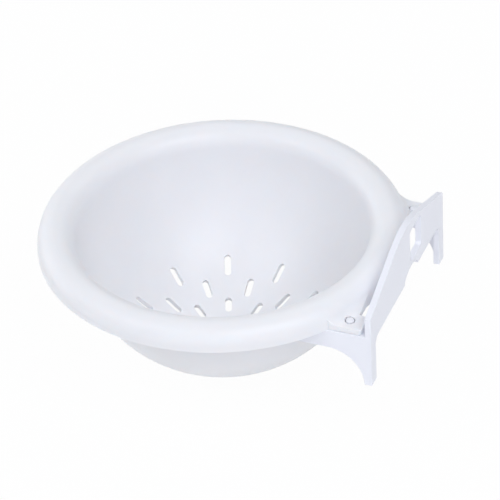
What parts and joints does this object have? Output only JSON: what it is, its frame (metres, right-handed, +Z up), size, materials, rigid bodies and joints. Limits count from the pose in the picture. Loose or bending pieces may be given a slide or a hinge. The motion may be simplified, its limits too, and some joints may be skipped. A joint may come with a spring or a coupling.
{
  "type": "bird nest pan",
  "caption": "Round slotted nest pan with a rolled rim and a flat ear that lifts off pegs on a two-legged hanger plate for a bird cage.",
  "frame": {"origin": "on the hanger plate's flat outer face, on the pan's mirror plane, at the height where the rim is widest", "axes": "+X out of the hanger plate, away from the pan; +Z up, along the bowl's axis; +Y along the plate"},
  "size_m": [0.1332, 0.13, 0.0662],
  "materials": {
    "pan_plastic": "satin",
    "hanger_plastic": "satin",
    "peg_plastic": "satin"
  },
  "bodies": {
    "hanger": {"hanger": "hanger_plastic", "peg_left": "peg_plastic", "peg_right": "peg_plastic"},
    "pan": {"nest_pan": "pan_plastic"}
  },
  "joints": [
    {"name": "pan_lift", "type": "slide", "parent": "hanger", "child": "pan", "axis": [0, 0, 1], "range_m": [0, 0.025]}
  ]
}
